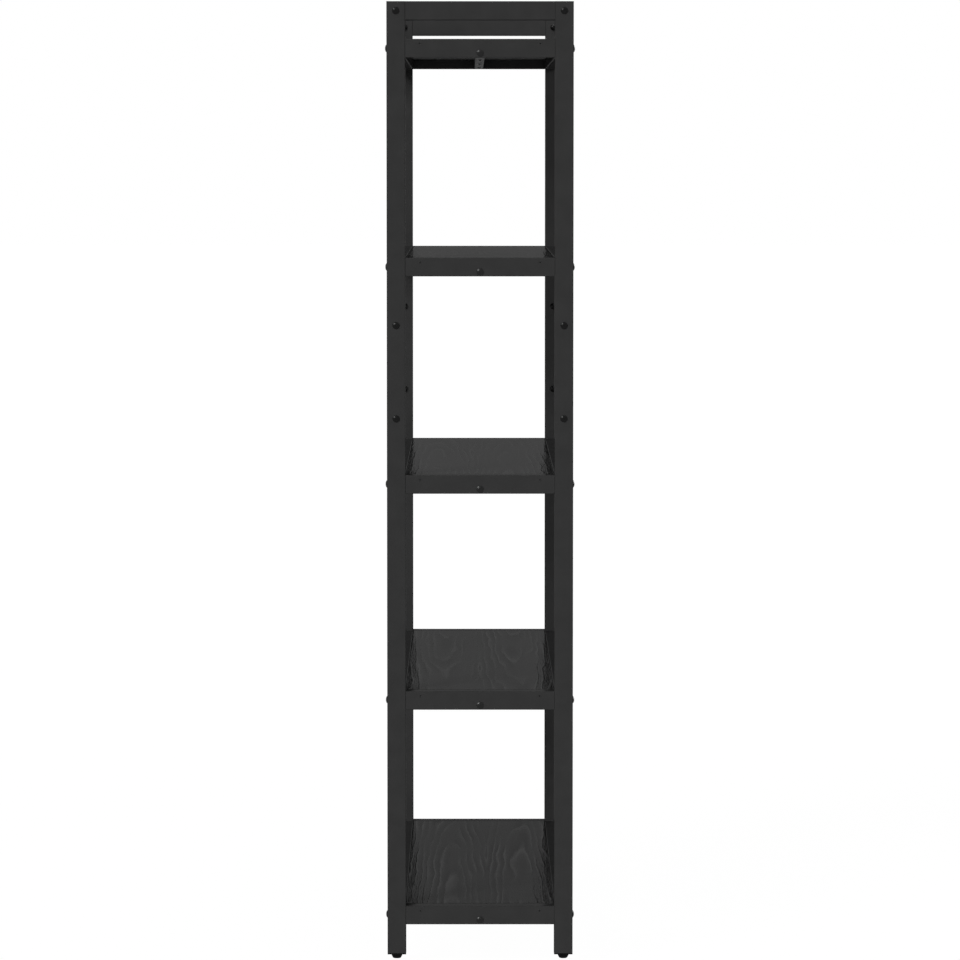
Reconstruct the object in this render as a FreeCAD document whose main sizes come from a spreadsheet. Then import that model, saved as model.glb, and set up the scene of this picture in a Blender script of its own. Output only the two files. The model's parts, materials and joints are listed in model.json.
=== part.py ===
import FreeCAD, Part
import math
import os
import Sketcher
from FreeCAD import Placement, Rotation, Vector

# A free-standing bookcase: square steel tube frame, five wood shelves and four levelling feet.
# Millimetres. +Z is up. X is the depth, with the front at +X. Y is the length, with the left end at -Y.
# The origin is on the floor, in the middle of the footprint.

SHELVES = 5
SPLICE_TIER = 2

SIZES = {
    # Outside sizes
    "length_overall": 1000,
    "depth_overall": 300,
    "lowest_rail": 57,
    "shelf_pitch": 350,
    "guard_gap": 30,
    # Square tube of the posts and rails
    "tube_side": 30,
    "tube_wall": 1.5,
    "tube_corner": 1.5,
    "tube_inner_corner": 0.5,
    "end_plate": 4,
    # Joint between the upper and the lower posts
    "splice_rise": 6,
    "splice_length": 240,
    "splice_wall": 1.5,
    "splice_bolt_pitch": 150,
    "fit_gap": 0.3,
    # Shelf boards and the support bars under them
    "board_thickness": 15,
    "board_gap": 0.5,
    "board_edge": 0.8,
    "bar_side": 15,
    "bar_wall": 1.2,
    "bar_corner": 1.5,
    "bar_inner_corner": 0.5,
    "bar_screw_pitch": 330,
    # Bolts and cap nuts
    "bolt_diameter": 6,
    "bolt_gap": 0.3,
    "thread_gap": 0.1,
    "bolt_tip": 5,
    "bolt_head": 11.6,
    "bolt_head_height": 2.6,
    "bolt_head_dome": 2,
    "cap_nut_height": 5.5,
    "cap_nut_dome": 3,
    "cap_nut_grip": 3.5,
    # Wood screws
    "board_screw_spacing": 193,
    "board_screw": 3,
    "board_screw_head": 5,
    "board_screw_depth": 20,
    "bar_screw": 3.5,
    "bar_screw_head": 7,
    "bar_screw_head_height": 2.2,
    "bar_screw_depth": 9,
    "screw_gap": 0.15,
    # Blocks that hold the guard rails in the posts
    "corner_leg": 40,
    "corner_stem": 25,
    # Plugs, nuts and feet under the posts
    "plug_flange": 2,
    "plug_length": 24,
    "plug_core": 22,
    "plug_fin": 1.5,
    "plug_fin_pitch": 6,
    "stud_diameter": 8,
    "stud_length": 32,
    "nut_width": 13,
    "nut_height": 6.5,
    "foot_height": 8,
    "foot_diameter": 18.5,
    "foot_sole": 12.5,
    "foot_round": 1,
}
PLUG_FINS = 4

doc = FreeCAD.newDocument("Bookcase")
sheet = doc.addObject("Spreadsheet::Sheet", "Size")
for row, (alias, size) in enumerate(SIZES.items(), start=1):
    sheet.set(f"A{row}", alias.replace("_", " "))
    sheet.set(f"B{row}", str(size))
    sheet.setAlias(f"B{row}", alias)
doc.recompute()

# Lengths and heights that several pieces share
CLEAR_INSIDE = "(Size.tube_side - 2 * Size.tube_wall)"
SNUG_INSIDE = f"({CLEAR_INSIDE} - 2 * Size.fit_gap)"
END_RAIL = "(Size.depth_overall - 2 * Size.tube_side)"
LONG_RAIL = "(Size.length_overall - 2 * Size.tube_side)"
POST_X = "((Size.depth_overall - Size.tube_side) / 2)"
POST_Y = "((Size.length_overall - Size.tube_side) / 2)"
POST_FOOT = "(Size.foot_height + Size.plug_flange)"
TOP_RAIL = f"(Size.lowest_rail + {SHELVES - 1} * Size.shelf_pitch)"
GUARD_RAIL = f"({TOP_RAIL} + Size.tube_side + Size.guard_gap)"
POST_TOP = f"({GUARD_RAIL} + Size.tube_side)"
SPLICE = (
    f"(Size.lowest_rail + {SPLICE_TIER} * Size.shelf_pitch"
    " + (Size.shelf_pitch + Size.tube_side) / 2 + Size.splice_rise)"
)
BAR_DROP = "(Size.board_thickness + Size.bar_side)"
BOLT_HOLE = "(Size.bolt_diameter + 2 * Size.bolt_gap)"
THREADED_HOLE = "(Size.bolt_diameter + 2 * Size.thread_gap)"
BOARD_SCREW_HOLE = "(Size.board_screw + 2 * Size.screw_gap)"
BAR_SCREW_HOLE = "(Size.bar_screw + 2 * Size.screw_gap)"
STUD_HOLE = "(Size.stud_diameter + 2 * Size.bolt_gap)"

FRONT_REAR = {"front": 1, "rear": -1}
LEFT_RIGHT = {"left": -1, "right": 1}
CLOSE = 1e-6
UPRIGHT = Rotation()
HALF_TURN = Rotation(Vector(0, 0, 1), 180)
ALONG_X = Rotation(Vector(0, 1, 0), 90)
ALONG_Y = Rotation(Vector(1, 0, 0), -90)

nodes = []


def value(expression):
    return float(sheet.evalExpression(expression))


def rail_underside(level):
    return f"(Size.lowest_rail + {level} * Size.shelf_pitch)"


def rail_middle(level):
    return f"({rail_underside(level)} + Size.tube_side / 2)"


def shelf_top(level):
    return f"({rail_underside(level)} + Size.tube_side)"


def new_body(label):
    body = doc.addObject("PartDesign::Body", label)
    body.Label = label
    return body


def sketch_on(body, role, rise=None):
    plane = next(f for f in body.Origin.OriginFeatures if f.Role == role)
    sketch = body.newObject("Sketcher::SketchObject", body.Name + "_sketch")
    sketch.AttachmentSupport = [(plane, "")]
    sketch.MapMode = "FlatFace"
    if rise:
        sketch.setExpression("AttachmentOffset.Base.z", rise)
    return sketch


def dimension(sketch, kind, references, expression):
    index = sketch.addConstraint(Sketcher.Constraint(kind, *references, value(expression)))
    sketch.setExpression(f"Constraints[{index}]", expression)


def pin(sketch, geometry, point, x, y):
    """Holds one point of a sketch at a distance across and up from the sketch's origin."""
    for kind, axis, expression in (("DistanceX", -2, x), ("DistanceY", -1, y)):
        distance = value(expression)
        if abs(distance) < CLOSE:
            sketch.addConstraint(Sketcher.Constraint("PointOnObject", geometry, point, axis))
        elif distance > 0:
            dimension(sketch, kind, (-1, 1, geometry, point), expression)
        else:
            dimension(sketch, kind, (geometry, point, -1, 1), f"-({expression})")


def polygon(sketch, points):
    """A closed outline of straight lines, each corner held by two dimensions."""
    corners = [Vector(value(x), value(y), 0) for x, y in points]
    lines = [Part.LineSegment(a, b) for a, b in zip(corners, corners[1:] + corners[:1])]
    first = sketch.addGeometry(lines)[0]
    for n, (x, y) in enumerate(points):
        before = first + (n - 1) % len(points)
        sketch.addConstraint(Sketcher.Constraint("Coincident", before, 2, first + n, 1))
        pin(sketch, first + n, 1, x, y)


def circle(sketch, x, y, diameter):
    centre = Vector(value(x), value(y), 0)
    geometry = sketch.addGeometry(Part.Circle(centre, Vector(0, 0, 1), value(diameter) / 2))
    dimension(sketch, "Diameter", (geometry,), diameter)
    pin(sketch, geometry, 3, x, y)


def rounded_square(sketch, side, corner):
    """A square about the sketch's origin, with four equal arcs at its corners."""
    half, radius = value(side) / 2, value(corner)
    flat = half - radius
    turns = [Rotation(Vector(0, 0, 1), 90 * n) for n in range(4)]
    shapes = []
    for n, turn in enumerate(turns):
        ends = [turn.multVec(Vector(-flat, -half, 0)), turn.multVec(Vector(flat, -half, 0))]
        shapes.append(Part.LineSegment(*ends))
        arc_circle = Part.Circle(turn.multVec(Vector(flat, -flat, 0)), Vector(0, 0, 1), radius)
        start = (n - 1) * math.pi / 2
        shapes.append(Part.ArcOfCircle(arc_circle, start, start + math.pi / 2))
    lines = sketch.addGeometry(shapes)[::2]
    arcs = [line + 1 for line in lines]
    rules = []
    for n, (line, arc) in enumerate(zip(lines, arcs)):
        rules.append(Sketcher.Constraint("Tangent", line, 2, arc, 1))
        rules.append(Sketcher.Constraint("Tangent", arc, 2, lines[(n + 1) % 4], 1))
        rules.append(Sketcher.Constraint("Vertical" if n % 2 else "Horizontal", line))
    rules += [Sketcher.Constraint("Equal", arcs[0], arc) for arc in arcs[1:]]
    rules.append(Sketcher.Constraint("Symmetric", arcs[0], 3, arcs[2], 3, -1, 1))
    sketch.addConstraint(rules)
    dimension(sketch, "Radius", (arcs[0],), corner)
    dimension(sketch, "DistanceX", (lines[3], 1, lines[1], 1), side)
    dimension(sketch, "DistanceY", (lines[0], 1, lines[2], 1), side)


def pad(body, sketch, length, symmetric=False):
    feature = body.newObject("PartDesign::Pad", body.Name + "_pad")
    feature.Profile = sketch
    feature.setExpression("Length", length)
    if symmetric:
        feature.SideType = "Symmetric"
    return feature


def cut_through(body, sketch, symmetric=True):
    feature = body.newObject("PartDesign::Pocket", body.Name + "_cut")
    feature.Profile = sketch
    feature.Type = "ThroughAll"
    if symmetric:
        feature.SideType = "Symmetric"
    return feature


def cut_depth(body, sketch, depth, reverse=False):
    feature = body.newObject("PartDesign::Pocket", body.Name + "_cut")
    feature.Profile = sketch
    feature.setExpression("Length", depth)
    feature.Reversed = reverse
    return feature


def drill(body, role, holes, diameter):
    """Round holes right through a body, drawn on one of its middle planes."""
    sketch = sketch_on(body, role)
    for x, y in holes:
        circle(sketch, x, y, diameter)
    return cut_through(body, sketch)


def revolve(body, points):
    sketch = sketch_on(body, "XZ_Plane")
    polygon(sketch, points)
    feature = body.newObject("PartDesign::Revolution", body.Name + "_turned")
    feature.Profile = sketch
    feature.ReferenceAxis = (sketch, ["V_Axis"])
    return feature


def soften(body, base, kind, edges, size):
    """A fillet or a chamfer along the edges of the last feature that the test picks out."""
    doc.recompute()
    names = [f"Edge{n}" for n, edge in enumerate(base.Shape.Edges, start=1) if edges(edge)]
    feature = body.newObject("PartDesign::" + kind, body.Name + "_edges")
    feature.Base = (base, names)
    feature.setExpression("Radius" if kind == "Fillet" else "Size", size)
    return feature


def level_edge(edge):
    return edge.BoundBox.ZLength < CLOSE


def ring_at(height, diameter):
    """Picks the level round edge of the given height and diameter."""
    level, radius = value(height), value(diameter) / 2

    def test(edge):
        box = edge.BoundBox
        return level_edge(edge) and abs(box.ZMin - level) < CLOSE and abs(box.XLength / 2 - radius) < CLOSE

    return test


def hole_rim(face, diameter):
    """Picks the rims of holes of the given diameter in the face at that place along the body's own Y."""
    level, radius = value(face), value(diameter) / 2

    def test(edge):
        box = edge.BoundBox
        on_face = box.YLength < CLOSE and abs(box.YMin - level) < CLOSE
        return on_face and abs(box.XLength / 2 - radius) < CLOSE

    return test


def place(body, x, y, z, turn=UPRIGHT):
    body.Placement = Placement(Vector(), turn)
    for axis, expression in zip("xyz", (x, y, z)):
        body.setExpression(f"Placement.Base.{axis}", expression)
    nodes.append(body)


def tube(label, side, wall, corner, inner_corner, length):
    body = new_body(label)
    section = sketch_on(body, "XY_Plane")
    rounded_square(section, side, corner)
    rounded_square(section, f"({side} - 2 * {wall})", inner_corner)
    pad(body, section, length)
    return body


def frame_tube(label, length):
    return tube(label, "Size.tube_side", "Size.tube_wall", "Size.tube_corner", "Size.tube_inner_corner", length)


def threaded_ends(body, clear_side, inner_corner, length):
    """Plates welded inside both ends of a tube, each tapped for a bolt along the tube."""
    for rise in ("0", f"({length} - Size.end_plate)"):
        plate = sketch_on(body, "XY_Plane", rise)
        rounded_square(plate, clear_side, inner_corner)
        pad(body, plate, "Size.end_plate")
    tapping = sketch_on(body, "XY_Plane")
    circle(tapping, "0", "0", THREADED_HOLE)
    cut_through(body, tapping)


def group(label, piece, places):
    """One node of separate, equal solids: copies of a piece at its places."""
    copies = []
    for position, turn in places:
        copy = piece.Shape.copy()
        copy.Placement = Placement(position, turn)
        copies.append(copy)
    feature = doc.addObject("Part::Feature", label)
    feature.Label = label
    feature.Shape = Part.makeCompound(copies)
    nodes.append(feature)


def facing(x, y, z):
    return Rotation(Vector(0, 0, 1), Vector(x, y, z))


# Posts: each is an upper and a lower length of tube, drilled for the end rails' bolts and the splice bolts.
# The upper one is open at the top of its inner side, where the guard rail's corner block goes in.
half_bolt_pitch = "Size.splice_bolt_pitch / 2"
post_parts = {
    "lower": (POST_FOOT, SPLICE, range(SPLICE_TIER + 1), [f"({SPLICE} - {half_bolt_pitch})"]),
    "upper": (
        SPLICE,
        POST_TOP,
        range(SPLICE_TIER + 1, SHELVES),
        [f"({SPLICE} + {half_bolt_pitch})", f"({GUARD_RAIL} + Size.tube_side / 2)"],
    ),
}
for side, x_sign in FRONT_REAR.items():
    for end, y_sign in LEFT_RIGHT.items():
        for part, (bottom, top, levels, end_bolts) in post_parts.items():
            post = frame_tube(f"post_{side}_{end}_{part}", f"({top} - {bottom})")
            drill(post, "YZ_Plane", [("0", f"({rail_middle(n)} - {bottom})") for n in levels], BOLT_HOLE)
            drill(post, "XZ_Plane", [("0", f"({height} - {bottom})") for height in end_bolts], BOLT_HOLE)
            if part == "upper":
                notch = sketch_on(post, "YZ_Plane")
                edge = f"({CLEAR_INSIDE} / 2)"
                sill = f"({GUARD_RAIL} + Size.tube_wall - {bottom})"
                rim = f"({top} - {bottom})"
                polygon(notch, [(f"-{edge}", sill), (edge, sill), (edge, rim), (f"-{edge}", rim)])
                cut_through(post, notch, symmetric=False)
            turn = UPRIGHT if x_sign > 0 else HALF_TURN
            place(post, f"{x_sign} * {POST_X}", f"{y_sign} * {POST_Y}", bottom, turn)

# Splices: a smaller tube inside each post, bolted to its upper and lower lengths.
for side, x_sign in FRONT_REAR.items():
    for end, y_sign in LEFT_RIGHT.items():
        splice = tube(
            f"post_splice_{side}_{end}",
            SNUG_INSIDE,
            "Size.splice_wall",
            "Size.tube_inner_corner",
            "Size.bar_inner_corner",
            "Size.splice_length",
        )
        middle = "Size.splice_length / 2"
        heights = [f"({middle} - {half_bolt_pitch})", f"({middle} + {half_bolt_pitch})"]
        drill(splice, "XZ_Plane", [("0", height) for height in heights], BOLT_HOLE)
        place(splice, f"{x_sign} * {POST_X}", f"{y_sign} * {POST_Y}", f"{SPLICE} - {middle}")

# End rails: between the front and rear posts at each shelf, tapped at both ends for the bolts through the
# posts, drilled in the middle for the support bar's bolt and countersunk for two screws into the board.
for level in range(SHELVES):
    for end, y_sign in LEFT_RIGHT.items():
        rail = frame_tube(f"end_rail_{end}_{level + 1}", END_RAIL)
        threaded_ends(rail, CLEAR_INSIDE, "Size.tube_inner_corner", END_RAIL)
        # The tube's own X points down once the rail lies along the depth.
        bar_bolt_drop = "(Size.board_thickness + Size.bar_side / 2 - Size.tube_side / 2)"
        drill(rail, "XZ_Plane", [(bar_bolt_drop, f"{END_RAIL} / 2")], BOLT_HOLE)
        screw_drop = "(Size.board_thickness / 2 - Size.tube_side / 2)"
        screw_places = [f"({END_RAIL} + {sign} * Size.board_screw_spacing) / 2" for sign in (-1, 1)]
        holes = drill(rail, "XZ_Plane", [(screw_drop, along) for along in screw_places], BOARD_SCREW_HOLE)
        outer_rims = hole_rim("-Size.tube_side / 2", BOARD_SCREW_HOLE)
        soften(rail, holes, "Chamfer", outer_rims, "(Size.board_screw_head - Size.board_screw) / 2")
        turn = ALONG_X if y_sign < 0 else HALF_TURN.multiply(ALONG_X)
        place(rail, f"{y_sign} * {END_RAIL} / 2", f"{y_sign} * {POST_Y}", rail_middle(level), turn)

# Guard rails: between the posts' tops at each end, open at both ends for the corner blocks.
for end, y_sign in LEFT_RIGHT.items():
    guard = frame_tube(f"guard_rail_{end}", END_RAIL)
    place(guard, f"-{END_RAIL} / 2", f"{y_sign} * {POST_Y}", f"{GUARD_RAIL} + Size.tube_side / 2", ALONG_X)

# Long rails: between the left and right posts at each shelf, front and rear, welded to the posts.
for level in range(SHELVES):
    for side, x_sign in FRONT_REAR.items():
        rail = frame_tube(f"long_rail_{side}_{level + 1}", LONG_RAIL)
        place(rail, f"{x_sign} * {POST_X}", f"-{LONG_RAIL} / 2", rail_middle(level), ALONG_Y)

# Shelf boards: between the rails with their tops flush, drilled at the ends and underneath for their screws.
for level in range(SHELVES):
    board = new_body(f"shelf_board_{level + 1}")
    half_width = f"(({END_RAIL}) / 2 - Size.board_gap)"
    half_length = f"(({LONG_RAIL}) / 2 - Size.board_gap)"
    outline = sketch_on(board, "XY_Plane")
    x_y = [(-1, -1), (1, -1), (1, 1), (-1, 1)]
    polygon(outline, [(f"{x} * {half_width}", f"{y} * {half_length}") for x, y in x_y])
    slab = pad(board, outline, "Size.board_thickness")
    soften(board, slab, "Fillet", level_edge, "Size.board_edge")
    for y_sign in LEFT_RIGHT.values():
        end_holes = sketch_on(board, "XZ_Plane", f"{-y_sign} * {half_length}")
        for x_sign in (-1, 1):
            circle(
                end_holes,
                f"{x_sign} * Size.board_screw_spacing / 2",
                "Size.board_thickness / 2",
                BOARD_SCREW_HOLE,
            )
        cut_depth(board, end_holes, "Size.board_screw_depth + Size.board_gap", reverse=y_sign > 0)
    under_holes = sketch_on(board, "XY_Plane")
    for n in (-1, 0, 1):
        circle(under_holes, "0", f"{n} * Size.bar_screw_pitch", BAR_SCREW_HOLE)
    cut_depth(board, under_holes, "Size.bar_screw_depth + Size.board_gap", reverse=True)
    place(board, "0", "0", f"{shelf_top(level)} - Size.board_thickness")

# Support bars: a small tube under the middle of each board, tapped at both ends for the bolts through the
# end rails and drilled for three screws into the board.
for level in range(SHELVES):
    bar = tube(
        f"support_bar_{level + 1}",
        "Size.bar_side",
        "Size.bar_wall",
        "Size.bar_corner",
        "Size.bar_inner_corner",
        LONG_RAIL,
    )
    threaded_ends(bar, "(Size.bar_side - 2 * Size.bar_wall)", "Size.bar_inner_corner", LONG_RAIL)
    places = [f"({LONG_RAIL} / 2 + {n} * Size.bar_screw_pitch)" for n in (-1, 0, 1)]
    drill(bar, "XZ_Plane", [("0", along) for along in places], BAR_SCREW_HOLE)
    middle = f"({shelf_top(level)} - Size.board_thickness - Size.bar_side / 2)"
    # Turned about its length so that the screw holes, along the tube's own Y, stand upright.
    place(bar, "0", f"-{LONG_RAIL} / 2", middle, ALONG_Y)

# Corner blocks: an elbow with a stem down the post and a leg along the guard rail, flush with the post's top.
block = new_body("guard_corner_block")
half_snug = f"({SNUG_INSIDE} / 2)"
inner_face = "(-Size.tube_side / 2)"
leg_end = "(-Size.tube_side / 2 - Size.corner_leg)"
leg_bottom = "(Size.tube_wall + Size.fit_gap)"
leg_top = "(Size.tube_side - Size.tube_wall - Size.fit_gap)"
elbow = sketch_on(block, "XZ_Plane")
polygon(
    elbow,
    [
        (f"-{half_snug}", "-Size.corner_stem"),
        (half_snug, "-Size.corner_stem"),
        (half_snug, "Size.tube_side"),
        (inner_face, "Size.tube_side"),
        (inner_face, leg_top),
        (leg_end, leg_top),
        (leg_end, leg_bottom),
        (f"-{half_snug}", leg_bottom),
    ],
)
pad(block, elbow, SNUG_INSIDE, symmetric=True)
drill(block, "XZ_Plane", [("0", "Size.tube_side / 2")], BOLT_HOLE)

# Plugs: in the lower end of each post, a flange under the tube, a ribbed core and a pocket for the foot's nut.
for side, x_sign in FRONT_REAR.items():
    for end, y_sign in LEFT_RIGHT.items():
        plug = new_body(f"foot_plug_{side}_{end}")
        flange = sketch_on(plug, "XY_Plane")
        rounded_square(flange, "Size.tube_side", "Size.tube_corner")
        pad(plug, flange, "Size.plug_flange")
        core = sketch_on(plug, "XY_Plane", "Size.plug_flange")
        rounded_square(core, "Size.plug_core", "Size.tube_inner_corner")
        pad(plug, core, "Size.plug_length")
        for n in range(PLUG_FINS):
            fin = sketch_on(plug, "XY_Plane", f"Size.plug_flange + {n} * Size.plug_fin_pitch")
            rounded_square(fin, SNUG_INSIDE, "Size.tube_inner_corner")
            pad(plug, fin, "Size.plug_fin")
        bore = sketch_on(plug, "XY_Plane")
        circle(bore, "0", "0", STUD_HOLE)
        cut_through(plug, bore)
        pocket = sketch_on(plug, "XY_Plane", "Size.plug_flange + Size.plug_length")
        across = "(Size.nut_width / 2 + Size.fit_gap)"
        hexagon = [(60 * n, f"{across} / cos(30 deg)") for n in range(6)]
        polygon(pocket, [(f"{r} * cos({a} deg)", f"{r} * sin({a} deg)") for a, r in hexagon])
        cut_depth(plug, pocket, "Size.nut_height")
        place(plug, f"{x_sign} * {POST_X}", f"{y_sign} * {POST_Y}", "Size.foot_height")

# Foot nuts: a hexagon nut that lies in each plug's pocket and takes the foot's stud.
nut = new_body("foot_nut")
nut_outline = sketch_on(nut, "XY_Plane")
hexagon = [(60 * n, "Size.nut_width / 2 / cos(30 deg)") for n in range(6)]
polygon(nut_outline, [(f"{r} * cos({a} deg)", f"{r} * sin({a} deg)") for a, r in hexagon])
pad(nut, nut_outline, "Size.nut_height")
nut_bore = sketch_on(nut, "XY_Plane")
circle(nut_bore, "0", "0", STUD_HOLE)
cut_through(nut, nut_bore)

# Feet: a round glide that narrows to its sole, on a threaded stud.
for side, x_sign in FRONT_REAR.items():
    for end, y_sign in LEFT_RIGHT.items():
        foot = new_body(f"foot_{side}_{end}")
        stud_top = "(Size.foot_height + Size.stud_length)"
        turned = revolve(
            foot,
            [
                ("0", "0"),
                ("Size.foot_sole / 2", "0"),
                ("Size.foot_diameter / 2", "Size.foot_height"),
                ("Size.stud_diameter / 2", "Size.foot_height"),
                ("Size.stud_diameter / 2", stud_top),
                ("0", stud_top),
            ],
        )
        soften(foot, turned, "Fillet", ring_at("0", "Size.foot_sole"), "Size.foot_round")
        place(foot, f"{x_sign} * {POST_X}", f"{y_sign} * {POST_Y}", "0")


def domed_bolt(label, length):
    """A bolt along Z with its head on the plane z = 0 and its shank below it."""
    bolt = new_body(label)
    head, shank = "Size.bolt_head / 2", "Size.bolt_diameter / 2"
    turned = revolve(
        bolt,
        [
            ("0", f"-{length}"),
            (shank, f"-{length}"),
            (shank, "0"),
            (head, "0"),
            (head, "Size.bolt_head_height"),
            ("0", "Size.bolt_head_height"),
        ],
    )
    soften(bolt, turned, "Fillet", ring_at("Size.bolt_head_height", "Size.bolt_head"), "Size.bolt_head_dome")
    return bolt


# Bolts: one pattern with a domed head, longer where it goes on into a threaded end.
rail_bolt = domed_bolt("rail_bolt", "(Size.tube_side + Size.end_plate + Size.bolt_tip)")
post_bolt = domed_bolt("post_bolt", "(Size.tube_side + Size.cap_nut_grip)")

# Cap nuts: a domed nut with a blind hole, on the inner face of each post.
cap_nut = new_body("cap_nut")
nut_hole_top = "(Size.cap_nut_grip + Size.thread_gap)"
cap_turned = revolve(
    cap_nut,
    [
        (f"{THREADED_HOLE} / 2", "0"),
        ("Size.bolt_head / 2", "0"),
        ("Size.bolt_head / 2", "Size.cap_nut_height"),
        ("0", "Size.cap_nut_height"),
        ("0", nut_hole_top),
        (f"{THREADED_HOLE} / 2", nut_hole_top),
    ],
)
soften(cap_nut, cap_turned, "Fillet", ring_at("Size.cap_nut_height", "Size.bolt_head"), "Size.cap_nut_dome")

# Board screws: countersunk, through an end rail into the end of a board.
board_screw = new_body("board_screw")
head_depth = "((Size.board_screw_head - Size.board_screw) / 2)"
screw_length = "(Size.tube_side + Size.board_screw_depth)"
revolve(
    board_screw,
    [
        ("0", f"-{screw_length}"),
        ("Size.board_screw / 2", f"-{screw_length}"),
        ("Size.board_screw / 2", f"-{head_depth}"),
        ("Size.board_screw_head / 2", "0"),
        ("0", "0"),
    ],
)

# Bar screws: with a raised round head, up through a support bar into the board.
bar_screw = new_body("bar_screw")
bar_screw_length = "(Size.bar_side + Size.bar_screw_depth)"
revolve(
    bar_screw,
    [
        ("0", f"-{bar_screw_length}"),
        ("Size.bar_screw / 2", f"-{bar_screw_length}"),
        ("Size.bar_screw / 2", "0"),
        ("Size.bar_screw_head / 2", "0"),
        ("Size.bar_screw_head / 2", "Size.bar_screw_head_height"),
        ("0", "Size.bar_screw_head_height"),
    ],
)
doc.recompute()

# Places of the grouped pieces, each group in one node.
side_face = value("Size.depth_overall / 2")
end_face = value("Size.length_overall / 2")
inner_end_face = value("Size.length_overall / 2 - Size.tube_side")
post_x = value(POST_X)
post_y = value(POST_Y)
guard_underside = value(GUARD_RAIL)
bolt_heights = [value(height) for part in post_parts.values() for height in part[3]]
bar_middles = [value(f"{shelf_top(n)} - Size.board_thickness - Size.bar_side / 2") for n in range(SHELVES)]
bar_undersides = [value(f"{shelf_top(n)} - {BAR_DROP}") for n in range(SHELVES)]
board_middles = [value(f"{shelf_top(n)} - Size.board_thickness / 2") for n in range(SHELVES)]
screw_offset = value("Size.board_screw_spacing / 2")
bar_screw_pitch = value("Size.bar_screw_pitch")
nut_seat = value("Size.foot_height + Size.plug_flange + Size.plug_length - Size.nut_height")
corners = [(x, y) for x in FRONT_REAR.values() for y in LEFT_RIGHT.values()]

group(
    "end_rail_bolts",
    rail_bolt,
    [
        (Vector(x * side_face, y * post_y, value(rail_middle(n))), facing(x, 0, 0))
        for n in range(SHELVES)
        for x, y in corners
    ],
)
group(
    "support_bar_bolts",
    rail_bolt,
    [(Vector(0, y * end_face, height), facing(0, y, 0)) for height in bar_middles for y in (-1, 1)],
)
group(
    "post_bolts",
    post_bolt,
    [
        (Vector(x * post_x, y * end_face, height), facing(0, y, 0))
        for height in bolt_heights
        for x, y in corners
    ],
)
group(
    "post_cap_nuts",
    cap_nut,
    [
        (Vector(x * post_x, y * inner_end_face, height), facing(0, -y, 0))
        for height in bolt_heights
        for x, y in corners
    ],
)
group(
    "board_screws",
    board_screw,
    [
        (Vector(x * screw_offset, y * end_face, height), facing(0, y, 0))
        for height in board_middles
        for x, y in corners
    ],
)
group(
    "support_bar_screws",
    bar_screw,
    [
        (Vector(0, n * bar_screw_pitch, height), facing(0, 0, -1))
        for height in bar_undersides
        for n in (-1, 0, 1)
    ],
)
group("foot_nuts", nut, [(Vector(x * post_x, y * post_y, nut_seat), UPRIGHT) for x, y in corners])
group(
    "guard_corner_blocks",
    block,
    [
        (Vector(x * post_x, y * post_y, guard_underside), UPRIGHT if x > 0 else HALF_TURN)
        for x, y in corners
    ],
)
doc.recompute()

for item in doc.Objects:
    if "Invalid" in item.State or "Error" in item.State:
        raise RuntimeError(f"{item.Label} did not build: {item.State}")
for node in nodes:
    if node.Shape.isNull() or not node.Shape.isValid():
        raise RuntimeError(f"{node.Label} has no valid shape")

os.makedirs("parts", exist_ok=True)
for node in nodes:
    node.Shape.exportStep(f"parts/{node.Label}.step")
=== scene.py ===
import json
import math

import bmesh
import bpy
from mathutils import Matrix, Vector


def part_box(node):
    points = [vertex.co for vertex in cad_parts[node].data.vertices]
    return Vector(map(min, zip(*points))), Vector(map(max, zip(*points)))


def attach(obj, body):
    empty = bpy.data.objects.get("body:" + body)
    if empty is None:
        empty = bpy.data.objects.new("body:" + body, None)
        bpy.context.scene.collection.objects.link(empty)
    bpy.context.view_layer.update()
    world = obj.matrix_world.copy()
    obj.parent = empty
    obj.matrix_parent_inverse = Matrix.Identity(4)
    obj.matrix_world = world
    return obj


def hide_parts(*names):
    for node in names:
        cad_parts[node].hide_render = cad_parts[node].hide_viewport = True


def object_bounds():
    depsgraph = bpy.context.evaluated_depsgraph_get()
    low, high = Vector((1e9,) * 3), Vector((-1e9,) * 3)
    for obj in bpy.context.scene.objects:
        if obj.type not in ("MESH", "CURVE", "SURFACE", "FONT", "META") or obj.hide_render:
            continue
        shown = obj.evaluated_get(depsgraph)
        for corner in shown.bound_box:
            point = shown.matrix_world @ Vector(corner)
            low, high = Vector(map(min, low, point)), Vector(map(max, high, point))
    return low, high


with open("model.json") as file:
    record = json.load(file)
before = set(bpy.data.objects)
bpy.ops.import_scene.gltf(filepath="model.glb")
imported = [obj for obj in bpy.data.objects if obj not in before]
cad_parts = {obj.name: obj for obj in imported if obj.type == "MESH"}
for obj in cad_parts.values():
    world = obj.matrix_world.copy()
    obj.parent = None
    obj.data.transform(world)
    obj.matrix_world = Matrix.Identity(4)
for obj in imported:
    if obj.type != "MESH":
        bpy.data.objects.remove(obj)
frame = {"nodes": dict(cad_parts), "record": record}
cad_bounds = [list(corner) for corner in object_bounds()]


# Posts: square steel tube, each an upper and a lower length that meet end to end over an inner sleeve.
# The tubes are cut and drilled, then powder coated black, a satin skin with a fine orange-peel grain.
ENDS = ("left", "right")
SIDES = ("front", "rear")
POSTS = [f"{side}_{end}" for side in SIDES for end in ENDS]


def new_finish(name, roughness, specular, metallic=0.0, coat=0.0, coat_roughness=0.0):
    """A material with its shader's even values set, ready for its pattern nodes."""
    finish = bpy.data.materials.new(name)
    finish.use_nodes = True
    shader = finish.node_tree.nodes["Principled BSDF"]
    shader.inputs["Roughness"].default_value = roughness
    shader.inputs["Specular IOR Level"].default_value = specular
    shader.inputs["Metallic"].default_value = metallic
    shader.inputs["Coat Weight"].default_value = coat
    shader.inputs["Coat Roughness"].default_value = coat_roughness
    return finish


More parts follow.
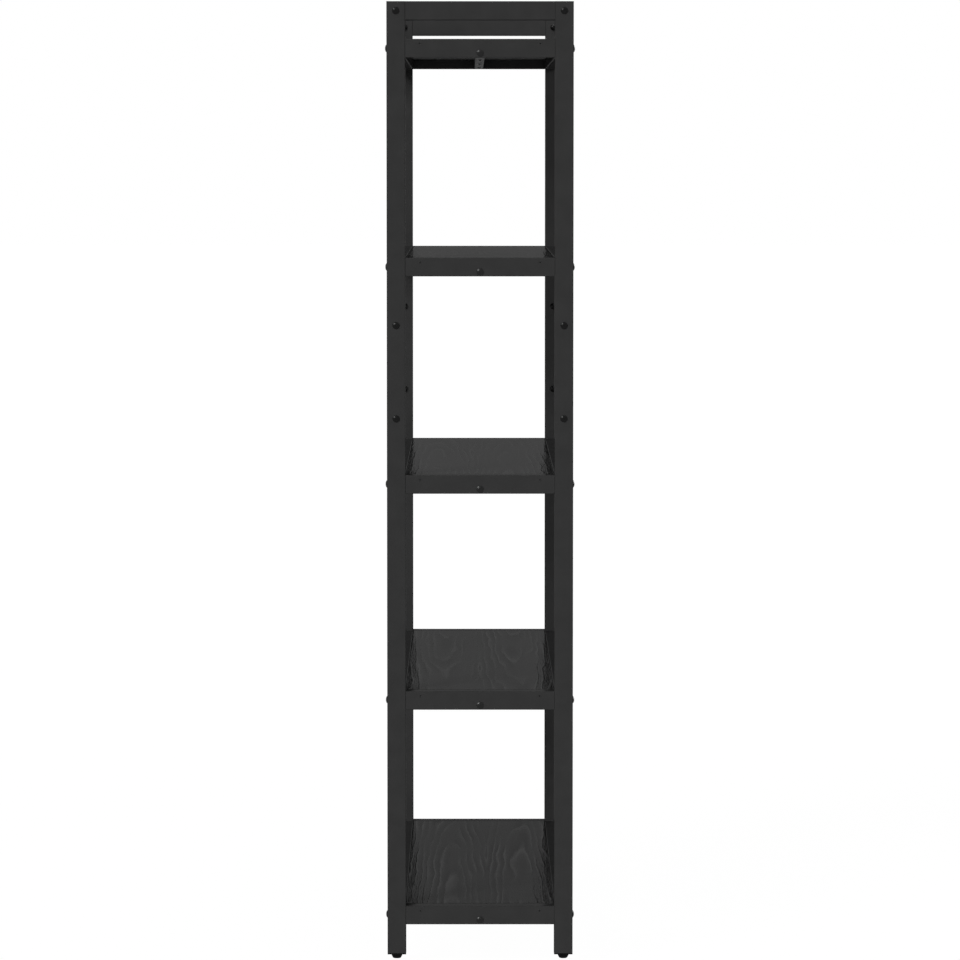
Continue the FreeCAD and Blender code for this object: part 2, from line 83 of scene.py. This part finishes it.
def add_node(finish, kind, inputs, **settings):
    """Adds a shader node, with each input set to a value or linked to another node's output."""
    added = finish.node_tree.nodes.new("ShaderNode" + kind)
    for setting, choice in settings.items():
        setattr(added, setting, choice)
    for socket, given in inputs.items():
        if isinstance(given, bpy.types.NodeSocket):
            finish.node_tree.links.new(given, added.inputs[socket])
        else:
            added.inputs[socket].default_value = given
    return added


def grey_ramp(finish, factor, stops):
    """A colour ramp through neutral greys, given as (position, grey) stops."""
    ramp = add_node(finish, "ValToRGB", {"Fac": factor})
    points = ramp.color_ramp.elements
    while len(points) < len(stops):
        points.new(0.5)
    for point, (position, grey) in zip(points, stops):
        point.position = position
        point.color = (grey, grey, grey, 1)
    return ramp.outputs["Color"]


def object_noise(finish, grains_per_metre, detail=2.0):
    """Noise with its own fineness along each axis of the object."""
    coordinates = add_node(finish, "TexCoord", {})
    stretched = add_node(
        finish, "Mapping", {"Vector": coordinates.outputs["Object"], "Scale": grains_per_metre}
    )
    noise = add_node(
        finish, "TexNoise", {"Vector": stretched.outputs["Vector"], "Scale": 1, "Detail": detail}
    )
    return noise.outputs["Fac"]


def cover(finish, colour, roughness=None, height=None, strength=0.0, depth=0.0):
    """Joins a finish's patterns to its shader: colour, gloss and an embossed height."""
    links = finish.node_tree.links
    shader = finish.node_tree.nodes["Principled BSDF"]
    links.new(colour, shader.inputs["Base Color"])
    if roughness:
        links.new(roughness, shader.inputs["Roughness"])
    if height:
        bump = add_node(finish, "Bump", {"Height": height, "Strength": strength, "Distance": depth})
        links.new(bump.outputs["Normal"], shader.inputs["Normal"])
        links.new(bump.outputs["Normal"], shader.inputs["Coat Normal"])
    return finish


def powder_coat(name):
    finish = new_finish(name, roughness=0.6, specular=0.0, coat=0.05, coat_roughness=0.12)
    cloud = object_noise(finish, (30, 30, 30))
    peel = object_noise(finish, (1100, 1100, 1100))
    colour = grey_ramp(finish, cloud, [(0.3, 0.024), (0.7, 0.0272)])
    return cover(finish, colour, height=peel, strength=0.25, depth=0.0001)


def paint(finish, *nodes):
    """Gives a finish to solids that keep their own shape."""
    for name in nodes:
        for place in frame["nodes"][name].material_slots:
            place.material = finish


frame_black = powder_coat("frame_black_powder_coat")
paint(frame_black, *[f"post_{post}_{length}" for post in POSTS for length in ("lower", "upper")])


# Splices: a smaller steel tube inside each post, bolted to its upper and lower lengths.
# It is left as it comes from the mill, bright with faint drawing streaks along its length.
def mill_steel(name):
    finish = new_finish(name, roughness=0.4, specular=0.5, metallic=0.9)
    streak = object_noise(finish, (400, 400, 30))
    colour = grey_ramp(finish, streak, [(0.3, 0.22), (0.7, 0.34)])
    gloss = grey_ramp(finish, streak, [(0.3, 0.34), (0.7, 0.46)])
    return cover(finish, colour, gloss, streak, strength=0.1, depth=0.0001)


bare_steel = mill_steel("inner_mill_steel")
paint(bare_steel, *[f"post_splice_{post}" for post in POSTS])


# Long rails: the same square tube, between the left and right posts at every shelf, front and rear.
# A short bead of weld above and below each end joins it to the post; the coat goes over both.
LEVELS = range(1, 6)
BEAD_RADIUS = 0.0016
BEAD_RIPPLES = 13
BEAD_DIP = 0.86
TUBE_CORNER = 0.0015


def middle_of(node):
    low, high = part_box(node)
    return (Vector(low) + Vector(high)) / 2


def edges_of(verts):
    """The edges at some vertices, each once and always in the same order."""
    return list(dict.fromkeys(edge for vert in verts for edge in vert.link_edges))


def weld_bead(bm, start, length):
    """A rope of weld along X from its start: a ring pushed along in steps that swell and dip."""
    turn = Matrix.Rotation(math.pi / 2, 4, "Y")
    rope = bmesh.ops.create_circle(
        bm, cap_ends=True, radius=BEAD_RADIUS / 2, segments=10, matrix=Matrix.Translation(start) @ turn
    )
    edges = edges_of(rope["verts"])
    centre = Vector(start)
    step = length / (2 * BEAD_RIPPLES)
    size = BEAD_RADIUS / 2
    for n in range(2 * BEAD_RIPPLES):
        pushed = bmesh.ops.extrude_edge_only(bm, edges=edges)["geom"]
        edges = [item for item in pushed if isinstance(item, bmesh.types.BMEdge) and item.is_boundary]
        verts = [item for item in pushed if isinstance(item, bmesh.types.BMVert)]
        centre.x += step
        wanted = BEAD_RADIUS * (1 if n % 2 else BEAD_DIP)
        if n == 2 * BEAD_RIPPLES - 1:
            wanted = BEAD_RADIUS / 2
        bmesh.ops.translate(bm, verts=verts, vec=(step, 0, 0))
        bmesh.ops.scale(
            bm, verts=verts, vec=(1, wanted / size, wanted / size), space=Matrix.Translation(-centre)
        )
        size = wanted
    bmesh.ops.contextual_create(bm, geom=edges)


def add_piece(name, bm, finish, body, slot, *replaced, crease=35):
    """Makes a piece of a mesh: smooth but for edges sharper than the crease, riding on a body."""
    bmesh.ops.recalc_face_normals(bm, faces=bm.faces[:])
    for face in bm.faces:
        face.smooth = True
    mesh = bpy.data.meshes.new(name)
    bm.to_mesh(mesh)
    bm.free()
    mesh.set_sharp_from_angle(angle=math.radians(crease))
    mesh.materials.append(finish)
    piece = bpy.data.objects.new(name, mesh)
    bpy.context.scene.collection.objects.link(piece)
    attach(piece, body)
    if replaced:
        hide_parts(*replaced)


for side in SIDES:
    for level in LEVELS:
        rail = f"long_rail_{side}_{level}"
        paint(frame_black, rail)
        low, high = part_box(rail)
        beads = bmesh.new()
        for y in (low[1], high[1]):
            for z in (low[2], high[2]):
                weld_bead(beads, (low[0] + TUBE_CORNER, y, z), high[0] - low[0] - 2 * TUBE_CORNER)
        add_piece(f"{rail}_welds", beads, frame_black, "frame", "frame_paint", crease=60)


# End rails and guard rails: the same tube again, cut to fit between the front and rear posts.
# Each end rail has a tapped plate inside both ends; a guard rail is open there for its corner blocks.
paint(frame_black, *[f"end_rail_{end}_{level}" for end in ENDS for level in LEVELS])
paint(frame_black, *[f"guard_rail_{end}" for end in ENDS])


# Shelf boards: particle board pressed between two sheets of black wood-grain laminate.
# The grain is flat sawn and runs along the board, in two columns of pointed arches with open pores.
# Each board comes from another part of the sheet, so some are plainer than others.
ARCH_COLUMNS_APART = 0.135
COLUMN_SHIFT = 0.012
ARCH_RISE = 0.03
HEART_DEPTH = 0.01
HEART_BEND = 0.03
RING_SPACING = 0.0095
RING_WAVER = 0.016
PLAIN_GREY = 0.0115
FIGURE_STRENGTHS = (1.0, 0.8, 0.4, 0.3, 0.6)


def worked_out(finish, operation, *values):
    """One step of arithmetic on numbers or on other nodes' outputs."""
    return add_node(finish, "Math", dict(enumerate(values)), operation=operation).outputs["Value"]


def wood_grain(finish, column_shift, arch_rise):
    """Growth rings cut along a log: nested arches up each column, straight lines between them."""
    coordinates = add_node(finish, "TexCoord", {})
    along = add_node(finish, "SeparateXYZ", {"Vector": coordinates.outputs["Object"]})
    bend = object_noise(finish, (16, 2.2, 7), detail=1)
    waver = object_noise(finish, (60, 5, 5), detail=1)
    folded = worked_out(finish, "ABSOLUTE", worked_out(finish, "ADD", along.outputs["X"], column_shift))
    column = worked_out(finish, "SUBTRACT", folded, ARCH_COLUMNS_APART / 2)
    across = worked_out(finish, "MULTIPLY_ADD", waver, RING_WAVER, column)
    rise = worked_out(finish, "MULTIPLY_ADD", along.outputs["Y"], arch_rise, HEART_DEPTH)
    heart = worked_out(finish, "MULTIPLY_ADD", bend, HEART_BEND, rise)
    cut = add_node(finish, "CombineXYZ", {"X": across, "Z": heart})
    # The wave node goes through 20 radians for each unit of its scale.
    rings = add_node(
        finish,
        "TexWave",
        {"Vector": cut.outputs["Vector"], "Scale": math.tau / (20 * RING_SPACING)},
        wave_type="RINGS",
        rings_direction="Y",
        wave_profile="SAW",
    )
    return rings.outputs["Fac"]


def blended(finish, factor, one, other, how="MIX"):
    """Two greys or patterns mixed, or multiplied, by a factor."""
    mixed = add_node(finish, "Mix", {0: factor}, data_type="RGBA", blend_type=how)
    for socket, given in ((6, one), (7, other)):
        if isinstance(given, bpy.types.NodeSocket):
            finish.node_tree.links.new(given, mixed.inputs[socket])
        else:
            mixed.inputs[socket].default_value = (given, given, given, 1)
    return mixed.outputs[2]


def board_laminate(name, column_shift, arch_rise, figure):
    finish = new_finish(name, roughness=0.75, specular=0.0, coat=0.082, coat_roughness=0.15)
    rings = wood_grain(finish, column_shift, arch_rise)
    pores = object_noise(finish, (800, 26, 800), detail=1)
    patches = object_noise(finish, (28, 3, 28))
    growth = [(0.0, 0.0), (0.2, 0.003), (0.6, 0.0145), (0.82, 0.038), (1.0, 0.0)]
    lines = grey_ramp(finish, rings, growth)
    figured = grey_ramp(finish, patches, [(0.4, 0.05 * figure), (0.6, figure)])
    pitted = grey_ramp(finish, pores, [(0.34, 0.85), (0.44, 1.0)])
    relief = grey_ramp(finish, rings, [(0.0, 0.2), (0.6, 0.5), (0.85, 1.0), (1.0, 0.2)])
    colour = blended(finish, 1.0, blended(finish, figured, PLAIN_GREY, lines), pitted, "MULTIPLY")
    emboss = blended(finish, 0.5, relief, pores)
    return cover(finish, colour, height=emboss, strength=1.0, depth=0.0003)


for level, figure in zip(LEVELS, FIGURE_STRENGTHS):
    board_finish = board_laminate(
        f"board_{level}_laminate",
        column_shift=COLUMN_SHIFT * (level - 2),
        arch_rise=ARCH_RISE * (-1) ** (level + 1),
        figure=figure,
    )
    paint(board_finish, f"shelf_board_{level}")


# Support bars: small square steel tube under the middle of each board, bolted between the end rails.
# It is zinc plated, a dull grey with a faint spangle.
def zinc_plate(name):
    finish = new_finish(name, roughness=0.7, specular=0.0, coat=0.06, coat_roughness=0.3)
    spangle = object_noise(finish, (160, 60, 160))
    colour = grey_ramp(finish, spangle, [(0.3, 0.1), (0.7, 0.13)])
    return cover(finish, colour, height=spangle, strength=0.1, depth=0.0001)


paint(zinc_plate("support_bar_zinc"), *[f"support_bar_{level}" for level in LEVELS])


# Bolts: steel bolts with a low domed head and a hexagon socket, blackened.
# They hold the end rails to the posts, the support bars to the end rails and the posts to their splices.
# Those in the end rails' middles are a little glossier than the rest.
TURNED_SIDES = 48
BOLT_HEAD = 0.0058
BOLT_HEAD_RIM = 0.0009
BOLT_HEAD_HEIGHT = 0.0026
BOLT_SHANK = 0.003
BOLT_TIP = 0.0006
RAIL_BOLT_BITE = 0.009
POST_BOLT_BITE = 0.0035
SOCKET = 0.0017
SOCKET_FLAT = SOCKET * 1.2
SOCKET_RECESS = [(SOCKET * 1.06, 0), (SOCKET, 0.0001), (SOCKET, 0.0004)]
TURN_BETWEEN = math.radians(23)
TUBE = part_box("post_front_left_lower")[1][0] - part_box("post_front_left_lower")[0][0]


def ring(bm, radius, height, outline=None, sides=TURNED_SIDES):
    """A level ring about the Z axis: round, or with its radius scaled by an outline in each direction."""
    loop = bmesh.ops.create_circle(
        bm, cap_ends=False, radius=radius, segments=sides, matrix=Matrix.Translation((0, 0, height))
    )
    if outline:
        for vert in loop["verts"]:
            vert.co.xy *= outline(math.atan2(vert.co.y, vert.co.x))
    return edges_of(loop["verts"])


def dome(rim, top, low, high, steps=7):
    """Radius and height up a round cap, from its rim to the edge of the recess in its top."""
    sphere = (rim**2 + (high - low) ** 2) / (2 * (high - low))
    radii = [rim + (top - rim) * n / steps for n in range(steps + 1)]
    return [(radius, high - sphere + math.sqrt(sphere**2 - radius**2)) for radius in radii]


def close_rings(bm, rings):
    """Joins each ring to the next and closes the first and the last."""
    for one, following in zip(rings, rings[1:]):
        bmesh.ops.bridge_loops(bm, edges=one + following)
    for end in (rings[0], rings[-1]):
        bmesh.ops.contextual_create(bm, geom=end)


def hexagon(angle):
    """Radius of a hexagon in each direction, 1 at its corners."""
    return math.cos(math.pi / 6) / math.cos(angle % (math.pi / 3) - math.pi / 6)


def turned(outline, recess, shape):
    """A fastener turned from (radius, height) points, with (radius, depth) rings for its recess."""
    bm = bmesh.new()
    top = outline[-1][1]
    rings = [ring(bm, radius, height) for radius, height in outline]
    rings += [ring(bm, radius, top - depth, shape) for radius, depth in recess]
    close_rings(bm, rings)
    return bm


def domed_bolt(length):
    shank = [(BOLT_SHANK * 0.8, -length), (BOLT_SHANK, BOLT_TIP - length), (BOLT_SHANK, 0)]
    head = [(BOLT_HEAD, 0)] + dome(BOLT_HEAD, SOCKET_FLAT, BOLT_HEAD_RIM, BOLT_HEAD_HEIGHT)
    return turned(shank + head, SOCKET_RECESS, hexagon)


def set_copies(master, places):
    """A mesh of many equal fasteners, one at each place, each turned a little further than the last."""
    pattern = bpy.data.meshes.new("fastener_pattern")
    master.to_mesh(pattern)
    master.free()
    together = bmesh.new()
    for count, (position, outward) in enumerate(places):
        before = len(together.verts)
        together.from_mesh(pattern)
        together.verts.ensure_lookup_table()
        aim = Vector(outward).to_track_quat("Z", "Y").to_matrix().to_4x4()
        turn = Matrix.Rotation(TURN_BETWEEN * count, 4, "Z")
        bmesh.ops.transform(
            together, matrix=Matrix.Translation(position) @ aim @ turn, verts=together.verts[before:]
        )
    bpy.data.meshes.remove(pattern)
    return together


def black_oxide(name, grey, specular, rough):
    finish = new_finish(name, roughness=rough, specular=specular)
    cloud = object_noise(finish, (700, 700, 700))
    colour = grey_ramp(finish, cloud, [(0.3, 0.85 * grey), (0.7, 1.15 * grey)])
    gloss = grey_ramp(finish, cloud, [(0.3, 0.9 * rough), (0.7, 1.1 * rough)])
    return cover(finish, colour, gloss, cloud, strength=0.08, depth=0.0001)


post_bolt_black = black_oxide("post_bolt_black_oxide", grey=0.004, specular=0.09, rough=0.25)
rail_bolt_black = black_oxide("rail_bolt_black_oxide", grey=0.004, specular=0.2, rough=0.3)
side_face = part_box("post_front_left_lower")[1][0]
end_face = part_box("end_rail_right_1")[1][1]
inner_end_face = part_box("end_rail_right_1")[0][1]
post_middle = middle_of("post_front_right_lower")
corners = [(x, y) for x in (1, -1) for y in (-1, 1)]
rail_middles = [middle_of(f"end_rail_left_{level}").z for level in LEVELS]
bar_middles = [middle_of(f"support_bar_{level}").z for level in LEVELS]
post_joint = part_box("post_front_left_lower")[1][2]
lower_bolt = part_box("post_bolts")[0][2] + BOLT_HEAD
post_bolt_heights = [lower_bolt, 2 * post_joint - lower_bolt, middle_of("guard_rail_left").z]
end_rail_bolts = [
    ((x * side_face, y * post_middle.y, height), (x, 0, 0))
    for height in rail_middles
    for x, y in corners
]
support_bar_bolts = [((0, y * end_face, height), (0, y, 0)) for height in bar_middles for y in (-1, 1)]
post_bolts = [
    ((x * post_middle.x, y * end_face, height), (0, y, 0))
    for height in post_bolt_heights
    for x, y in corners
]
for node, finish, length, places in (
    ("end_rail_bolts", post_bolt_black, TUBE + RAIL_BOLT_BITE, end_rail_bolts),
    ("support_bar_bolts", rail_bolt_black, TUBE + RAIL_BOLT_BITE, support_bar_bolts),
    ("post_bolts", post_bolt_black, TUBE + POST_BOLT_BITE, post_bolts),
):
    bolts = set_copies(domed_bolt(length), places)
    add_piece(f"{node}_domed", bolts, finish, "frame", "fastener_black", node)


# Cap nuts: domed and blind, blackened like the bolts, on the inner face of each post.
# A hexagon socket in the dome holds the nut while its bolt is tightened.
CAP_RIM = 0.0022
CAP_HEIGHT = 0.0055
CAP_BORE = 0.0031
CAP_BORE_DEPTH = 0.0036
cap_outline = [(CAP_BORE, CAP_BORE_DEPTH), (CAP_BORE, 0), (BOLT_HEAD, 0)]
cap_outline += dome(BOLT_HEAD, SOCKET_FLAT, CAP_RIM, CAP_HEIGHT)
cap_nuts = [
    ((x * post_middle.x, y * inner_end_face, height), (0, -y, 0))
    for height in post_bolt_heights
    for x, y in corners
]
add_piece(
    "post_cap_nuts_domed",
    set_copies(turned(cap_outline, SOCKET_RECESS, hexagon), cap_nuts),
    post_bolt_black,
    "frame",
    "fastener_black",
    "post_cap_nuts",
)


# Board screws: countersunk wood screws with a cross recess, two through each end rail into the board.
# Their heads lie flush with the rail's outer face and are nearly as pale as its paint.
BOARD_SCREW_HEAD = 0.0025
BOARD_SCREW = 0.0015
BOARD_SCREW_BITE = 0.02
BOARD_RECESS = 0.0014
BOARD_RECESS_DEPTH = 0.0005
SCREW_POINT = 0.003
CROSS_ARM = 0.24


def cross(angle):
    """Radius of a cross in each direction, 1 at the ends of its arms."""
    across, along = sorted((abs(math.cos(angle)), abs(math.sin(angle))))
    return min(1 / along, CROSS_ARM / max(across, CROSS_ARM))


def cross_screw(outline, reach, depth):
    """A screw with a cross recess in its head, narrower at the bottom."""
    return turned(outline, [(reach, 0), (reach * 0.55, depth)], cross)


board_screw_outline = [
    (BOARD_SCREW * 0.2, -TUBE - BOARD_SCREW_BITE),
    (BOARD_SCREW, -TUBE - BOARD_SCREW_BITE + SCREW_POINT),
    (BOARD_SCREW, BOARD_SCREW - BOARD_SCREW_HEAD),
    (BOARD_SCREW_HEAD, -0.0001),
    (BOARD_SCREW_HEAD * 0.96, 0),
]
board_screw = cross_screw(board_screw_outline, BOARD_RECESS, BOARD_RECESS_DEPTH)
screw_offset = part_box("board_screws")[1][0] - BOARD_SCREW_HEAD
board_middles = [middle_of(f"shelf_board_{level}").z for level in LEVELS]
board_screws = [
    ((x * screw_offset, y * end_face, height), (0, y, 0))
    for height in board_middles
    for x, y in corners
]
board_screw_black = black_oxide("board_screw_black_oxide", grey=0.016, specular=0.24, rough=0.3)
add_piece(
    "board_screws_cross",
    set_copies(board_screw, board_screws),
    board_screw_black,
    "frame",
    "fastener_black",
    "board_screws",
)


# Support bar screws: wood screws with a raised round head and a cross recess.
# Three go up through each support bar into the board, heads below.
BAR_SCREW_HEAD = 0.0035
BAR_SCREW_HEAD_RIM = 0.0005
BAR_SCREW_HEAD_HEIGHT = 0.0022
BAR_SCREW_HEAD_FLAT = 0.0021
BAR_SCREW = 0.00175
BAR_SCREW_BITE = 0.009
BAR_RECESS = 0.002
BAR_RECESS_DEPTH = 0.0013
bar_low, bar_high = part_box("support_bar_1")
bar_screw_length = bar_high[2] - bar_low[2] + BAR_SCREW_BITE
bar_screw_outline = [
    (BAR_SCREW * 0.2, -bar_screw_length),
    (BAR_SCREW, SCREW_POINT - bar_screw_length),
    (BAR_SCREW, 0),
    (BAR_SCREW_HEAD, 0),
]
bar_screw_outline += dome(BAR_SCREW_HEAD, BAR_SCREW_HEAD_FLAT, BAR_SCREW_HEAD_RIM, BAR_SCREW_HEAD_HEIGHT)
bar_screw = cross_screw(bar_screw_outline, BAR_RECESS, BAR_RECESS_DEPTH)
screw_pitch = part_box("support_bar_screws")[1][1] - BAR_SCREW_HEAD
bar_undersides = [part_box(f"support_bar_{level}")[0][2] for level in LEVELS]
bar_screws = [((0, n * screw_pitch, height), (0, 0, -1)) for height in bar_undersides for n in (-1, 0, 1)]
add_piece(
    "support_bar_screws_cross",
    set_copies(bar_screw, bar_screws),
    post_bolt_black,
    "frame",
    "fastener_black",
    "support_bar_screws",
)


# Corner blocks and foot plugs: black moulded plastic with a fine spark-eroded texture.
# The blocks join the guard rails to the posts' tops. The plugs close the posts below and hold a nut.
def moulded_plastic(name):
    finish = new_finish(name, roughness=0.55, specular=0.03)
    texture = object_noise(finish, (1500, 1500, 1500))
    colour = grey_ramp(finish, texture, [(0.3, 0.004), (0.7, 0.006)])
    gloss = grey_ramp(finish, texture, [(0.3, 0.5), (0.7, 0.62)])
    return cover(finish, colour, gloss, texture, strength=0.3, depth=0.0001)


black_plastic = moulded_plastic("plug_black_plastic")
paint(black_plastic, "guard_corner_blocks", *[f"foot_plug_{post}" for post in POSTS])
paint(bare_steel, "foot_nuts")


# Feet: a round plastic glide with a fluted grip, moulded onto a threaded steel stud.
# Turned by hand, the stud screws in and out of the plug's nut to level the bookcase.
FOOT_TOP = (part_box("foot_front_left")[1][0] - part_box("foot_front_left")[0][0]) / 2
FOOT_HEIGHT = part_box("foot_plug_front_left")[0][2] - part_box("foot_front_left")[0][2]
FOOT_SOLE = 0.00625
FOOT_ROUND = 0.001
FOOT_BULGE = 0.0006
SOLE_DISH = 0.0005
GRIP = FOOT_TOP - 0.0001
GRIP_EDGE = 0.0008
FLUTES = 24
FLUTE_DEPTH = 0.0002
STUD = 0.004
STUD_ROOT = 0.0034
STUD_PITCH = 0.00125
STUD_SEAT = 0.0005
THREAD_STEPS = 24
MERGE_WITHIN = 0.000001


def flutes(angle):
    """Radius of the fluted grip in each direction, 1 between the flutes."""
    return 1 - FLUTE_DEPTH / FOOT_TOP * max(0, math.cos(FLUTES * angle))


def fluted_glide(x, y):
    """A glide from its dished sole up: a round edge, a side that bulges and a straight grip."""
    bm = bmesh.new()
    middle = (FOOT_SOLE + FOOT_TOP) / 2 + FOOT_BULGE
    side = FOOT_SOLE + (middle - FOOT_SOLE) * 2 * FOOT_ROUND / FOOT_HEIGHT
    dish = [(FOOT_SOLE * 0.3, SOLE_DISH), (FOOT_SOLE * 0.62, SOLE_DISH), (FOOT_SOLE * 0.66, 0)]
    edge = [(FOOT_SOLE - FOOT_ROUND, 0), (FOOT_SOLE - 0.3 * FOOT_ROUND, 0.3 * FOOT_ROUND)]
    bulge = [(side, FOOT_ROUND), (middle, FOOT_HEIGHT / 2)]
    grip = [(GRIP, FOOT_HEIGHT * 0.75), (GRIP, FOOT_HEIGHT - GRIP_EDGE)]
    top = [(FOOT_TOP - GRIP_EDGE / 2, FOOT_HEIGHT), (STUD_ROOT, FOOT_HEIGHT)]
    rings = []
    for radius, height in dish + edge + bulge + grip + top:
        gripped = FOOT_ROUND <= height < FOOT_HEIGHT
        rings.append(ring(bm, radius, height, flutes if gripped else None, sides=FLUTES * 6))
    close_rings(bm, rings)
    bmesh.ops.translate(bm, verts=bm.verts[:], vec=(x, y, 0))
    return bm


def threaded_stud(x, y, low, high):
    """A thread cut by turning one tooth about the stud's axis and up, trimmed square at both ends."""
    bm = bmesh.new()
    tooth = [(STUD_ROOT, 0), (STUD, 0.42), (STUD, 0.58), (STUD_ROOT, 1)]
    verts = [bm.verts.new((r, 0, low + (share - 1) * STUD_PITCH)) for r, share in tooth]
    edges = [bm.edges.new(pair) for pair in zip(verts, verts[1:])]
    turns = math.ceil((high - low) / STUD_PITCH) + 1
    bmesh.ops.spin(
        bm,
        geom=verts + edges,
        cent=(0, 0, 0),
        axis=(0, 0, 1),
        dvec=(0, 0, STUD_PITCH / THREAD_STEPS),
        angle=math.tau * turns,
        steps=THREAD_STEPS * turns,
        use_merge=False,
    )
    bmesh.ops.remove_doubles(bm, verts=bm.verts[:], dist=MERGE_WITHIN)
    for height, outward in ((low, -1), (high, 1)):
        bmesh.ops.bisect_plane(
            bm,
            geom=bm.verts[:] + bm.edges[:] + bm.faces[:],
            plane_co=(0, 0, height),
            plane_no=(0, 0, outward),
            clear_outer=True,
        )
    bmesh.ops.holes_fill(bm, edges=[edge for edge in bm.edges if edge.is_boundary], sides=0)
    bmesh.ops.translate(bm, verts=bm.verts[:], vec=(x, y, 0))
    return bm


for post in POSTS:
    node = f"foot_{post}"
    body = f"levelling_foot_{post}"
    centre = middle_of(node)
    stud_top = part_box(node)[1][2]
    glide = fluted_glide(centre.x, centre.y)
    add_piece(f"foot_glide_{post}", glide, black_plastic, body, "foot_plastic", node)
    stud = threaded_stud(centre.x, centre.y, FOOT_HEIGHT - STUD_SEAT, stud_top)
    add_piece(f"foot_stud_{post}", stud, bare_steel, body, "inner_steel", node)


# Studio: a plain pale floor that shows white to the camera and to gloss, with a faint shadow on it.
# It lies where the feet reach when they are screwed right out, so that they stay in sight.
# The surround is white to the camera and to gloss as well, and gives no other light.
FOOT_TRAVEL = max(joint["range_m"][1] for joint in frame["record"]["behaviour"]["joints"])
FLOOR_REACH = 60
FLOOR_GREY = 0.7
FLOOR_GLOW = 1.01
SHADOW_SHARE = 0.02
SHADOW_FADES = (1.5, 4.0)
floor_mesh = bpy.data.meshes.new("studio_floor")
sheet = bmesh.new()
bmesh.ops.create_grid(sheet, x_segments=1, y_segments=1, size=FLOOR_REACH)
bmesh.ops.translate(sheet, verts=sheet.verts[:], vec=(0, 0, -FOOT_TRAVEL))
sheet.to_mesh(floor_mesh)
sheet.free()
floor = bpy.data.objects.new("studio_floor", floor_mesh)
bpy.context.scene.collection.objects.link(floor)


def seen_directly(owner):
    """1 where a ray comes from the camera, or from a gloss or a clear surface that shows the studio."""
    path = add_node(owner, "LightPath", {})
    seen = path.outputs["Is Camera Ray"]
    for other in ("Is Glossy Ray", "Is Transmission Ray"):
        seen = worked_out(owner, "MAXIMUM", seen, path.outputs[other])
    return seen


def surface(owner, output, factor, one, other):
    """Shows one shader where the factor is 0 and the other where it is 1."""
    blend = add_node(owner, "MixShader", {"Fac": factor, 1: one.outputs[0], 2: other.outputs[0]})
    owner.node_tree.links.new(blend.outputs["Shader"], owner.node_tree.nodes[output].inputs["Surface"])


floor_white = bpy.data.materials.new("studio_floor_white")
floor_white.use_nodes = True
floor_white.node_tree.nodes.remove(floor_white.node_tree.nodes["Principled BSDF"])
around = add_node(floor_white, "TexCoord", {})
distance = add_node(floor_white, "VectorMath", {0: around.outputs["Object"]}, operation="LENGTH")
fade = {"From Min": SHADOW_FADES[0], "From Max": SHADOW_FADES[1], "To Min": 1 - SHADOW_SHARE, "To Max": 1}
whiteness = add_node(floor_white, "MapRange", {"Value": distance.outputs["Value"], **fade})
share = worked_out(floor_white, "MULTIPLY", seen_directly(floor_white), whiteness.outputs["Result"])
matt = add_node(floor_white, "BsdfDiffuse", {"Color": (FLOOR_GREY, FLOOR_GREY, FLOOR_GREY, 1)})
glow = add_node(floor_white, "Emission", {"Strength": FLOOR_GLOW})
surface(floor_white, "Material Output", share, matt, glow)
floor_mesh.materials.append(floor_white)

world = bpy.data.worlds.new("studio_surround")
bpy.context.scene.world = world
world.use_nodes = True
unlit = add_node(world, "Background", {"Strength": 0})
white = add_node(world, "Background", {"Color": (1, 1, 1, 1), "Strength": 1})
world.node_tree.nodes.remove(world.node_tree.nodes["Background"])
surface(world, "World Output", seen_directly(world), unlit, white)


# Lamps: a soft key high on the left in front, a softbox overhead and a low lamp that lights the back.
# A fill near the camera, a little to its right, opens the shadows and is kept out of the gloss.
def add_lamp(name, kind, place, **settings):
    """A lamp that shines from its place towards the middle of the object."""
    lamp_data = bpy.data.lights.new(name, kind)
    for setting, choice in settings.items():
        setattr(lamp_data, setting, choice)
    lamp = bpy.data.objects.new(name, lamp_data)
    middle = Vector((0, 0, cad_bounds[1][2] / 2))
    lamp.location = middle + Vector(place)
    lamp.rotation_euler = Vector(place).to_track_quat("Z", "Y").to_euler()
    bpy.context.scene.collection.objects.link(lamp)
    return lamp


add_lamp("key_lamp", "SUN", (-5, -7, 5), angle=math.radians(20), energy=2.3)
front_fill = add_lamp("front_fill", "SUN", (1.4, -8, 0.3), angle=math.radians(4), energy=1.4)
front_fill.visible_glossy = False
add_lamp("overhead_softbox", "AREA", (0, -0.2, 3.2), shape="SQUARE", size=2.0, energy=80)
add_lamp("back_fill", "SUN", (6, 8, 2.5), angle=math.radians(30), energy=1.6)


# Camera: a long lens, far from the bookcase's end and almost square to it.
# It stands higher than the fourth shelf but not the fifth, and is tilted down a little.
CAMERA_PLACE = (-0.0158, -7.983, 1.3)
CAMERA_TILT = math.radians(3.98)
CAMERA_TURN = math.radians(-0.12)
SENSOR_MM = 36
LENS_MM = 174.65
camera_data = bpy.data.cameras.new("photo_camera")
camera_data.sensor_width = SENSOR_MM
camera_data.lens = LENS_MM
camera = bpy.data.objects.new("photo_camera", camera_data)
camera.location = CAMERA_PLACE
camera.rotation_euler = (math.pi / 2 - CAMERA_TILT, 0, CAMERA_TURN)
bpy.context.scene.collection.objects.link(camera)
bpy.context.scene.camera = camera
bpy.context.scene.view_settings.view_transform = "Standard"
